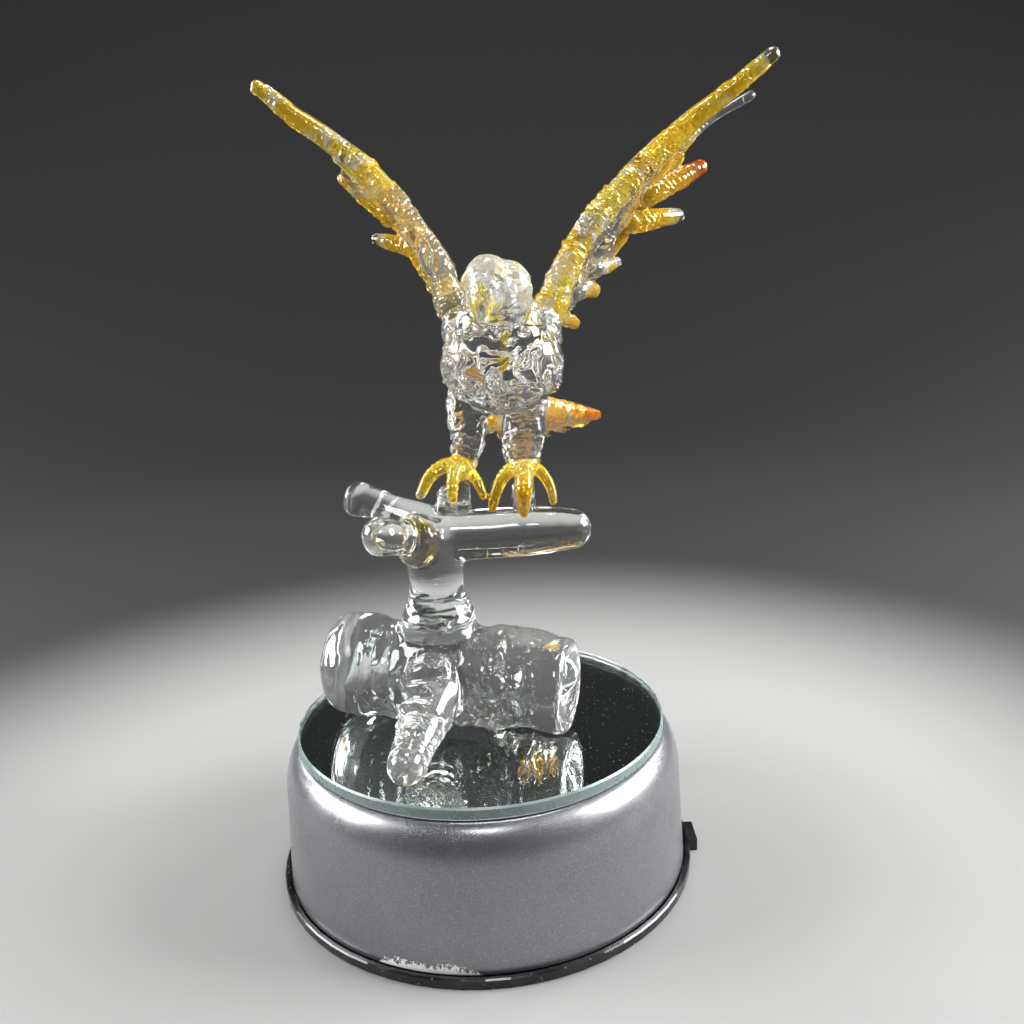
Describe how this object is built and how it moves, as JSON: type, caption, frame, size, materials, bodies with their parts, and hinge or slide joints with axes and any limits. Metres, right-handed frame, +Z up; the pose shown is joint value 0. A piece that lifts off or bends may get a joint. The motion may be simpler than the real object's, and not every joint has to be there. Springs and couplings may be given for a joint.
{
  "type": "glass eagle figurine",
  "caption": "Lampworked glass eagle with raised wings on a glass branch perch, standing on a round turntable with a mirror top.",
  "frame": {"origin": "middle of the tray's underside, on the turntable's axis", "axes": "+Z up along the turntable's axis, the eagle's breast and beak face -Y at rest, and the wings spread along X"},
  "size_m": [0.1215, 0.1, 0.1849],
  "materials": {
    "black_plastic": "glossy moulded black plastic",
    "silver_paint": "silver metallic paint with a fine sparkle on moulded plastic",
    "mirror_glass": "plain mirror with ground edges",
    "clear_glass": "clear fire-polished glass with amber and yellow in it, and a frosted head"
  },
  "bodies": {
    "base": {"base_tray": "black_plastic"},
    "turntable": {"turntable_drum": "silver_paint", "mirror_plate": "mirror_glass", "glass_eagle": "clear_glass"}
  },
  "joints": [
    {"name": "turntable_spin", "type": "hinge", "parent": "base", "child": "turntable", "pos_m": [0, 0, 0], "axis": [0, 0, 1], "continuous": true}
  ]
}
